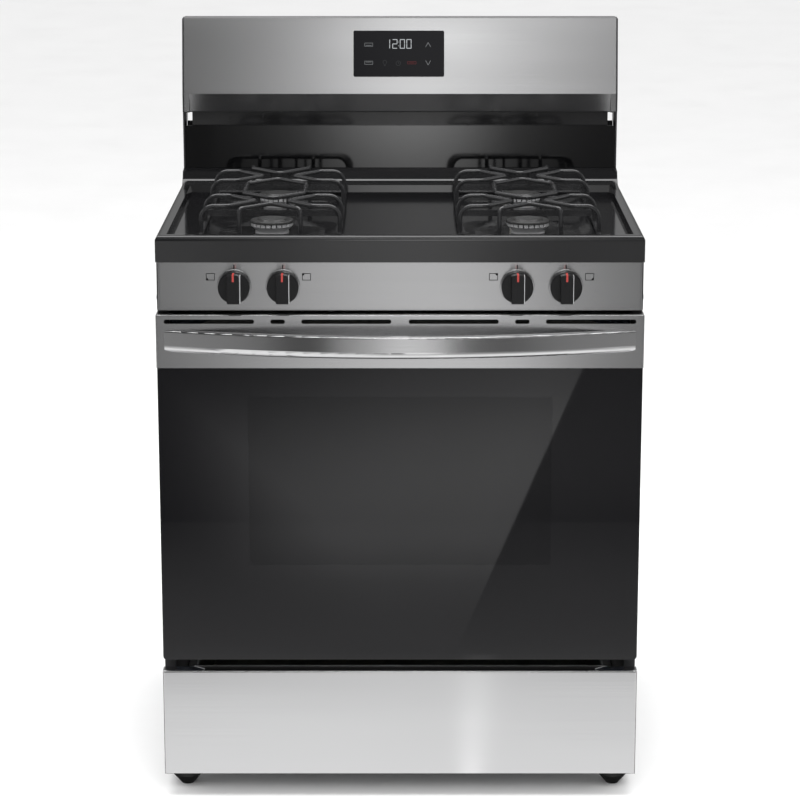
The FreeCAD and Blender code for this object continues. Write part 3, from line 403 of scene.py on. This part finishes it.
def facing_up(z):
    """Places (u, v, w) on a face that looks up at this height: u across, v to the back, w proud."""
    return lambda u, v, w: Vector((u, v, z + w))


def side_on(x):
    """Places (u, v, w) on a face that looks to the right at this x: u to the back, v up, w proud."""
    return lambda u, v, w: Vector((x + w, u, v))


MARK_HALF = 0.0015
MARK_DROP = 0.0118              # how far the red mark runs down the grip's face
SKIRT_DEPTH = 0.012             # from the knob's back to the skirt's front
GRIP_HALF = 0.0098              # half the grip's width
GRIP_TOP = 0.0011               # the grip's top edge lies this far inside the skirt's rim
EDGE_REACH = 0.0212             # half length of the pale strip along the grip, a painted highlight
EDGE_LIFT = 0.0009              # and how far it stands out from the grip's side
EDGE_INSET = 0.0014             # the strip starts this far behind the grip's face
EDGE_GAP = 0.0002               # and ends this far in front of the skirt
SKIN = 0.00015                  # how far the red mark stands proud of the grip
BEZEL_R = (0.0249, 0.0268)
BEZEL_LIFT = 0.0016
BEZEL_CHAMFER = 0.0007
BEZEL_SIDES = 64


def bezel(bm, x, z):
    """A thin raised ring on the panel round a knob, with a chamfered outer edge."""
    inner, outer = BEZEL_R
    profile = ((inner, 0.0), (outer, 0.0), (outer, BEZEL_LIFT * 0.4), (outer - BEZEL_CHAMFER, BEZEL_LIFT),
               (inner, BEZEL_LIFT))
    rings = []
    for i in range(BEZEL_SIDES):
        turn = 2 * math.pi * i / BEZEL_SIDES
        rings.append([bm.verts.new((x + r * math.sin(turn), panel_face - lift, z + r * math.cos(turn)))
                      for r, lift in profile])
    for i in range(BEZEL_SIDES):
        here, there = rings[i], rings[(i + 1) % BEZEL_SIDES]
        for j in range(len(profile)):
            k = (j + 1) % len(profile)
            bm.faces.new((here[j], here[k], there[k], there[j]))


for k, x, (low, high) in zip(KNOBS, knob_x, knob_boxes):
    grip_face, back = low[1], high[1]
    rim = high[2]
    middle = (low[2] + high[2]) / 2
    skirt_face = back - SKIRT_DEPTH
    mark = bmesh.new()
    slab(mark, bar_outline(x - MARK_HALF, x + MARK_HALF, rim - MARK_DROP, rim - GRIP_TOP), SKIN,
         upright(grip_face))
    slab(mark, bar_outline(x - MARK_HALF, x + MARK_HALF, grip_face - SKIN, skirt_face), SKIN,
         facing_up(rim - GRIP_TOP))
    mesh_piece("knob_%d_mark" % k, mark, RED, "knob_%d" % k)
    # A pale strip on the grip's right side: a painted highlight, not a real trim.
    edge = bmesh.new()
    strip = bar_outline(grip_face + EDGE_INSET, skirt_face - EDGE_GAP,
                        middle - EDGE_REACH, middle + EDGE_REACH)
    slab(edge, strip, EDGE_LIFT, side_on(x + GRIP_HALF))
    mesh_piece("knob_%d_edge" % k, edge, KNOB_HIGHLIGHT, "knob_%d" % k)
    ring_bm = bmesh.new()
    bezel(ring_bm, x, middle)
    mesh_piece("knob_%d_bezel" % k, ring_bm, STEEL_HANDLE, "body")


# ---------------------------------------------------------------- clock display
glass_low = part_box("display_glass")[0]
FACE_RISE = 0.129               # height of the console's leaning face
FACE_SETBACK = 0.024            # and how far back it leans over that height
lean = math.atan2(FACE_SETBACK, FACE_RISE)
GLASS_STEP = 0.0009             # how far the display glass stands out of the console's face
GLASS_PROUD = 0.00005           # gap between the glass and the lit marks
LIT = 0.00005                   # thickness of the lit marks


def on_glass(u, v, w):
    """A point on the display's leaning face: u across, v up from its lower edge, w proud."""
    out = w + GLASS_PROUD
    foot_y = glass_low[1]
    foot_z = glass_low[2] + GLASS_STEP * math.sin(lean)
    return Vector((u, foot_y + v * math.sin(lean) - out * math.cos(lean),
                   foot_z + v * math.cos(lean) + out * math.sin(lean)))


SEGMENTS = {"0": "abcdef", "1": "bc", "2": "abged"}
STROKE = 0.0012                 # width of a digit's segments
DIGIT_SIZE = (0.0088, 0.0163)
DIGIT_V = 0.0488                # foot of the digits
COLON = (-0.0024, 0.0006)       # middle and radius of the colon's dots


def digit(bm, u, v, width, height, lit):
    """One seven-segment digit."""
    t = STROKE
    half = height / 2
    bars = {
        "a": (u + t / 2, u + width - t / 2, v + height - t, v + height),
        "g": (u + t / 2, u + width - t / 2, v + half - t / 2, v + half + t / 2),
        "d": (u + t / 2, u + width - t / 2, v, v + t),
        "b": (u + width - t, u + width, v + half + t / 3, v + height - t / 2),
        "c": (u + width - t, u + width, v + t / 2, v + half - t / 3),
        "f": (u, u + t, v + half + t / 3, v + height - t / 2),
        "e": (u, u + t, v + t / 2, v + half - t / 3),
    }
    for segment in SEGMENTS[lit]:
        slab(bm, bar_outline(*bars[segment]), LIT, on_glass)


WHITE_LIGHT = glowing("display_white", (0.88, 0.92, 0.95), 0.62)
KEY_LIGHT = glowing("display_key", (0.75, 0.78, 0.80), 0.30)
DIM_LIGHT = glowing("display_dim", (0.55, 0.58, 0.62), 0.05)
RED_LIGHT = glowing("display_red", (0.80, 0.08, 0.10), 0.12)

digits = bmesh.new()
for u, lit in ((-0.0261, "1"), (-0.0133, "2"), (-0.0003, "0"), (0.0112, "0")):
    digit(digits, u, DIGIT_V, *DIGIT_SIZE, lit)
for share in (0.3, 0.7):
    slab(digits, disc_outline(COLON[0], DIGIT_V + share * DIGIT_SIZE[1], COLON[1], 12), LIT, on_glass)
mesh_piece("clock_digits", digits, WHITE_LIGHT, "body")

keys = bmesh.new()
LINE = 0.0008


def strokes(bm, points, width=LINE):
    """A chain of strokes through points."""
    for (u0, v0), (u1, v1) in zip(points, points[1:]):
        slab(bm, stroke_outline(u0, v0, u1, v1, width), LIT, on_glass)


def ring(bm, u, v, radius, start=0.0, end=360.0, sides=16):
    """A circular stroke, or part of one."""
    step = math.radians(end - start) / sides
    first = math.radians(start)
    strokes(bm, [(u + radius * math.cos(first + i * step), v + radius * math.sin(first + i * step))
                 for i in range(sides + 1)])


KEY_ROWS = (0.0556, 0.0243)
SIGN_LINE = 0.0006
OVEN_SIGN = (-0.0545, 0.0070, 0.0028)   # middle, half width and half height of the oven signs
BAR_INSET = 0.0020                      # from an oven sign's sides to the bar inside it
BAR_SHIFT = 0.0012                      # from the sign's middle to that bar
ARROW_U = (0.0446, 0.0490, 0.0534)      # left end, tip and right end of the two arrows
ARROW_RISE = 0.0038
for v, way in zip(KEY_ROWS, (1, -1)):
    strokes(keys, [(u, v + way * turn) for u, turn in zip(ARROW_U, (-ARROW_RISE, ARROW_RISE, -ARROW_RISE))])
u, w, h = OVEN_SIGN
for v, bar_v in zip(KEY_ROWS, (-BAR_SHIFT, BAR_SHIFT)):
    box = bar_outline(u - w, u + w, v - h, v + h)
    strokes(keys, box + box[:1], SIGN_LINE)
    strokes(keys, [(u - w + BAR_INSET, v + bar_v), (u + w - BAR_INSET, v + bar_v)], SIGN_LINE)
mesh_piece("clock_keys", keys, KEY_LIGHT, "body")

dim_keys = bmesh.new()
LAMP_U, TIMER_U = -0.0264, -0.0029
low_row = KEY_ROWS[1]
ring(dim_keys, LAMP_U, low_row + 0.0010, 0.0032, -60.0, 240.0)
for drop in (0.0034, 0.0048):
    strokes(dim_keys, [(LAMP_U - 0.0015, low_row - drop), (LAMP_U + 0.0015, low_row - drop)])
hub = low_row - 0.0008
ring(dim_keys, TIMER_U, hub, 0.0040)
strokes(dim_keys, [(TIMER_U, low_row + 0.0016), (TIMER_U, hub), (TIMER_U + 0.0020, hub)])
mesh_piece("clock_dim_keys", dim_keys, DIM_LIGHT, "body")

stop = bmesh.new()
STOP_U = (0.0130, 0.0280)
STOP_HALF = 0.0020              # half the stop sign's height
STOP_BAR = (0.0160, 0.0250)
left, right = STOP_U
foot, top = low_row - STOP_HALF, low_row + STOP_HALF
strokes(stop, [(left, foot), (right, foot), (right, top), (left, top), (left, foot)])
strokes(stop, [(u, low_row) for u in STOP_BAR])
mesh_piece("clock_stop_key", stop, RED_LIGHT, "body")


# ---------------------------------------------------------------- pale bead along the drawer's finger lip, a painted highlight on its top edge
pull_low, pull_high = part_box("drawer_pull")
# The pale bead is a painted highlight: it stands in for the light that the lip's top edge catches.
PULL_HIGHLIGHT = grained("pull_painted_highlight", (0.50, 0.50, 0.51), 0.35, metallic=0.5, strength=0.05)
PULL_SLANT = 0.018              # how far the foot of the lip's slanted ends runs in
BEAD = 0.0007                   # the bead's radius


def edge_bead(name, path, radius, material, body):
    """A thin round bead along a chain of points."""
    curve = bpy.data.curves.new(name, "CURVE")
    curve.dimensions = "3D"
    curve.bevel_depth = radius
    curve.bevel_resolution = 3
    curve.use_fill_caps = True
    spline = curve.splines.new("POLY")
    spline.points.add(len(path) - 1)
    for point, place in zip(spline.points, path):
        point.co = (*place, 1.0)
    curve.materials.append(material)
    bead = bpy.data.objects.new(name, curve)
    bpy.context.scene.collection.objects.link(bead)
    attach(bead, body)


bead_y = pull_low[1] - BEAD * 0.5
bead_foot, bead_top = pull_low[2] + BEAD, pull_high[2] - BEAD
edge_bead("drawer_pull_painted_highlight",
          [(pull_low[0] + PULL_SLANT, bead_y, bead_foot), (pull_low[0] + BEAD, bead_y, bead_top),
           (pull_high[0] - BEAD, bead_y, bead_top), (pull_high[0] - PULL_SLANT, bead_y, bead_foot)],
          BEAD, PULL_HIGHLIGHT, "drawer")


# ---------------------------------------------------------------- studio
FLOOR_TONE = (0.93, 0.93, 0.93)

floor_mesh = bpy.data.meshes.new("studio_floor")
floor_bm = bmesh.new()
bmesh.ops.create_grid(floor_bm, x_segments=8, y_segments=8, size=30.0)
floor_bm.to_mesh(floor_mesh)
floor_bm.free()
floor = bpy.data.objects.new("studio_floor", floor_mesh)
bpy.context.scene.collection.objects.link(floor)
floor.data.materials.append(grained("studio_floor", FLOOR_TONE, 0.9, scale=3.0, strength=0.0, vary=0.01))
floor.visible_glossy = False


def ramp(tree, value, stops):
    """A grey ramp through (position, level) stops."""
    node = tree.nodes.new("ShaderNodeValToRGB")
    node.color_ramp.interpolation = "B_SPLINE" if len(stops) > 3 else "EASE"
    elements = node.color_ramp.elements
    while len(elements) < len(stops):
        elements.new(0.5)
    for element, (position, level) in zip(elements, stops):
        element.position = position
        element.color = (level, level, level, 1.0)
    tree.links.new(value, node.inputs["Fac"])
    return node.outputs["Color"]


def light_card(name, places, across, along, radiance):
    """A glowing card seen only in reflections; its glow follows two ramps, across and along it."""
    mesh = bpy.data.meshes.new(name)
    mesh.from_pydata([Vector(place) for place in places], [], [(0, 1, 2, 3)])
    uv = mesh.uv_layers.new(name="card")
    for loop, corner in zip(uv.data, ((0, 0), (1, 0), (1, 1), (0, 1))):
        loop.uv = corner
    card = bpy.data.objects.new(name, mesh)
    bpy.context.scene.collection.objects.link(card)
    material = bpy.data.materials.new(name)
    material.use_nodes = True
    tree = material.node_tree
    tree.nodes.clear()
    coords = tree.nodes.new("ShaderNodeTexCoord")
    split = tree.nodes.new("ShaderNodeSeparateXYZ")
    tree.links.new(coords.outputs["UV"], split.inputs["Vector"])
    both = tree.nodes.new("ShaderNodeMix")
    both.data_type = "RGBA"
    both.blend_type = "MULTIPLY"
    both.inputs["Factor"].default_value = 1.0
    tree.links.new(ramp(tree, split.outputs["X"], across), both.inputs["A"])
    tree.links.new(ramp(tree, split.outputs["Y"], along), both.inputs["B"])
    glow = tree.nodes.new("ShaderNodeEmission")
    glow.inputs["Strength"].default_value = radiance
    tree.links.new(both.outputs["Result"], glow.inputs["Color"])
    clear = tree.nodes.new("ShaderNodeBsdfTransparent")
    total = tree.nodes.new("ShaderNodeAddShader")
    tree.links.new(glow.outputs["Emission"], total.inputs[0])
    tree.links.new(clear.outputs["BSDF"], total.inputs[1])
    output = tree.nodes.new("ShaderNodeOutputMaterial")
    tree.links.new(total.outputs["Shader"], output.inputs["Surface"])
    card.data.materials.append(material)
    card.visible_camera = False
    card.visible_diffuse = False
    card.visible_shadow = False
    card.visible_transmission = False


def floor_card(name, height, far_y, far_x, near_y, near_x, across, along, radiance):
    """A card that lies just over the floor in front of the range, from its far edge to its near edge."""
    places = ((far_x[0], far_y, height), (far_x[1], far_y, height), (near_x[1], near_y, height),
              (near_x[0], near_y, height))
    light_card(name, places, across, along, radiance)


def wall_card(name, y, x, z, across, along, radiance):
    """An upright card that faces the range."""
    places = ((x[0], y, z[0]), (x[1], y, z[0]), (x[1], y, z[1]), (x[0], y, z[1]))
    light_card(name, places, across, along, radiance)


def ceiling_card(name, z, x, y, across, along, radiance):
    """A level card over the range."""
    places = ((x[0], y[0], z), (x[1], y[0], z), (x[1], y[1], z), (x[0], y[1], z))
    light_card(name, places, across, along, radiance)


# Ramps for the cards, as (share of the way, brightness) stops.
FLAT = ((0.0, 1.0), (1.0, 1.0))
HUMP = ((0.0, 0.0), (0.5, 1.0), (1.0, 0.0))
RISE = ((0.0, 0.2), (1.0, 1.0))
NEAR_EDGE = -0.30               # where the cards on the floor close in front end
POOL_EDGE = -3.9                # where the pool of light ends and the far floor starts
WALL_Y = -6.5                   # the cards behind the camera
WALL_JOINT = 2.1                # height where the tall light's card meets the console light's
# The floor close in front, which the drawer and the foot of the door glass mirror.
floor_card("card_near_floor", 0.001, -1.9, (-3.0, 3.0), NEAR_EDGE, (-3.0, 3.0), FLAT,
           ((0.0, 0.04), (0.18, 0.20), (0.42, 0.38), (0.56, 0.44), (0.64, 0.88), (1.0, 0.90)), 1.22)
floor_card("card_drawer_stripe", 0.003, -1.0, (0.10, 0.20), NEAR_EDGE, (0.08, 0.15), HUMP, FLAT, 0.28)
# The pool of light on the door glass: soft on the left, cut off along a slanted line on the right.
floor_card("card_floor_pool", 0.005, POOL_EDGE, (-0.85, 0.582), -1.05, (-0.413, 0.111),
           ((0.0, 0.0), (0.25, 0.10), (0.50, 0.45), (0.76, 1.0), (0.95, 0.85), (1.0, 0.8)),
           ((0.0, 0.32), (0.26, 0.50), (0.43, 0.85), (0.60, 1.0), (0.76, 0.8), (0.86, 0.2), (1.0, 0.0)), 1.5)
floor_card("card_pool_spill", 0.007, POOL_EDGE, (0.2, 1.4), -1.0, (-0.1, 0.9),
           ((0.0, 0.0), (0.3, 1.0), (1.0, 0.0)), ((0.0, 0.5), (0.5, 1.0), (1.0, 0.0)), 0.22)
# The far floor, which the trim, the control panel and the cooktop's lip mirror.
floor_card("card_far_floor", 0.002, -7.5, (-1.3, 1.2), POOL_EDGE, (-0.85, 0.75),
           ((0.0, 0.55), (0.17, 0.60), (0.25, 0.40), (0.37, 0.42), (0.50, 0.80), (0.65, 1.0), (0.72, 0.90),
            (0.79, 0.36), (0.88, 0.34), (1.0, 0.52)), FLAT, 0.80)
# Dim floor at both sides, which the ends of the bowed handle mirror.
for hand, side in (("left", -1), ("right", 1)):
    floor_card("card_wide_floor_" + hand, 0.004, -5.5, sorted((side * 1.6, side * 5.0)),
               -1.2, sorted((side * 1.0, side * 3.6)), FLAT, FLAT, 0.22)
# The tall soft light behind the camera: narrow near the floor, where the backsplash mirrors it,
# and wider above, where the console does.
wall_card("card_tall_light", WALL_Y, (-0.80, 0.94), (0.0, WALL_JOINT),
          ((0.0, 0.0), (0.22, 0.12), (0.36, 0.65), (0.50, 1.0), (0.62, 0.62), (0.74, 0.08), (1.0, 0.0)),
          ((0.0, 0.15), (0.30, 0.20), (0.42, 0.60), (0.50, 1.0), (1.0, 1.0)), 2.1)
wall_card("card_console_light", WALL_Y, (-1.9, 1.9), (WALL_JOINT, 4.4),
          ((0.0, 0.0), (0.26, 0.02), (0.40, 0.20), (0.52, 1.0), (0.62, 0.60), (0.76, 0.18), (1.0, 0.04)),
          FLAT, 1.9)
# A strip overhead for the glints along rods and rolled edges, and softer panels around the studio.
ceiling_card("card_glints", 3.2, (-0.9, 0.9), (-1.9, -1.3), HUMP, HUMP, 7.0)
ceiling_card("card_overhead", 3.6, (-2.2, 2.2), (-1.2, 2.4), FLAT, HUMP, 3.6)
SIDE_X = 3.6                    # the panels at both sides
for hand, side in (("left", -1), ("right", 1)):
    light_card("card_side_" + hand,
               ((side * SIDE_X, -1.0, 0.0), (side * SIDE_X, 3.0, 0.0), (side * SIDE_X, 3.0, 3.0),
                (side * SIDE_X, -1.0, 3.0)), HUMP, RISE, 0.9)
wall_card("card_behind", 4.5, (-2.5, 2.5), (0.0, 3.0), HUMP, RISE, 0.5)


def area_light(name, place, target, size, power):
    """A rectangular lamp aimed at a target, left out of reflections."""
    data = bpy.data.lights.new(name, "AREA")
    data.shape = "RECTANGLE"
    data.size, data.size_y = size
    data.energy = power
    light = bpy.data.objects.new(name, data)
    light.location = place
    light.rotation_euler = (Vector(target) - Vector(place)).to_track_quat("-Z", "Y").to_euler()
    light.visible_glossy = False
    bpy.context.scene.collection.objects.link(light)


area_light("overhead", (0.0, -0.6, 4.0), (0.0, 0.0, 0.6), (3.5, 2.5), 150.0)
area_light("front_fill", (0.3, -4.5, 3.2), (0.0, 0.0, 0.6), (2.0, 1.5), 60.0)
# A faint glow in the oven, behind the door's window.
LAMP_DROP = 0.06                # how far the glow hangs under the liner's top
liner_low, liner_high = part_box("oven_liner")
area_light("oven_glow", (0.0, -0.10, liner_high[2] - LAMP_DROP), (0.0, -0.05, liner_low[2]), (0.5, 0.3), 0.5)

world = bpy.data.worlds.new("studio")
bpy.context.scene.world = world
world.use_nodes = True
world_tree = world.node_tree
sky = world_tree.nodes["Background"]
light_path = world_tree.nodes.new("ShaderNodeLightPath")
GLOSSY_SKY, OPEN_SKY = 0.06, 1.0    # the sky's strength in reflections, and elsewhere
sky_strength = remap(world_tree, light_path.outputs["Is Glossy Ray"], 0.0, 1.0, OPEN_SKY, GLOSSY_SKY)
world_tree.links.new(sky_strength, sky.inputs["Strength"])
sky.inputs["Color"].default_value = (1.0, 1.0, 1.0, 1.0)

scene = bpy.context.scene
scene.view_settings.view_transform = "Standard"
scene.view_settings.look = "None"

# ---------------------------------------------------------------- camera
PANEL_TO_CAMERA = 4.126
CAMERA_HEIGHT = 1.647
FOCAL_MM = 121.75
PITCH = math.radians(13.50)     # how far the camera looks down
camera_data = bpy.data.cameras.new("camera")
camera_data.sensor_width = 36.0
camera_data.lens = FOCAL_MM
camera = bpy.data.objects.new("camera", camera_data)
camera.location = (0.0, panel_face - PANEL_TO_CAMERA, CAMERA_HEIGHT)
camera.rotation_euler = (math.pi / 2 - PITCH, 0.0, 0.0)
scene.collection.objects.link(camera)
scene.camera = camera
